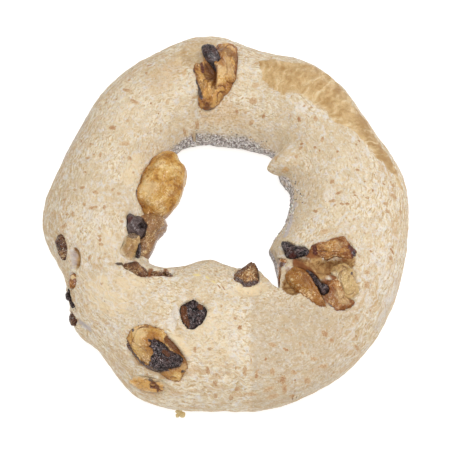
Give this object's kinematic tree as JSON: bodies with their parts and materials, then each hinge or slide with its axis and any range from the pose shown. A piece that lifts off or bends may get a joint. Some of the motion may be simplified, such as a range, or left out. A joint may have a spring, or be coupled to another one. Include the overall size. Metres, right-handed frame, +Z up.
{
  "type": "ring bread",
  "caption": "Ring bread roll of pale floured dough with lapped ends, a flat underside and scorched, plumped raisins set into its crust.",
  "frame": {"origin": "under the middle of the ring's outline, on the surface that the bread rests on", "axes": "+Z up out of the flat underside, -Y towards the front limb with the lapped ends at its left, +X to the right"},
  "size_m": [0.1104, 0.1198, 0.0279],
  "materials": {
    "crust": "matt, floured",
    "raisin_golden": "satin, blistered skin",
    "raisin_amber": "glossy, wrinkled skin",
    "raisin_brown": "satin, wrinkled skin",
    "raisin_char": "scorched, wrinkled"
  },
  "bodies": {
    "root": {"dough_ring": "crust", "raisin_back_tip": "raisin_char", "raisin_back_husk": "raisin_amber", "raisin_inner_left": "raisin_golden", "raisin_left_char": "raisin_char", "raisin_left_strip": "raisin_char", "raisin_left_amber": "raisin_amber", "raisin_left_lobe": "raisin_golden", "raisin_join_tip": "raisin_brown", "raisin_join_edge": "raisin_brown", "raisin_join_small": "raisin_brown", "raisin_side_upper": "raisin_brown", "raisin_side_middle": "raisin_amber", "raisin_side_char": "raisin_char", "raisin_side_lower": "raisin_brown", "raisin_front_char": "raisin_char", "raisin_front_husk": "raisin_golden", "raisin_front_skin": "raisin_amber", "raisin_socket": "raisin_char", "raisin_inner_front": "raisin_brown", "raisin_right_char": "raisin_char", "raisin_right_edge": "raisin_amber", "raisin_right_strip": "raisin_char", "raisin_right_long": "raisin_golden", "raisin_right_top": "raisin_amber", "raisin_right_bubble": "raisin_golden", "raisin_right_skin": "raisin_amber"}
  },
  "joints": []
}
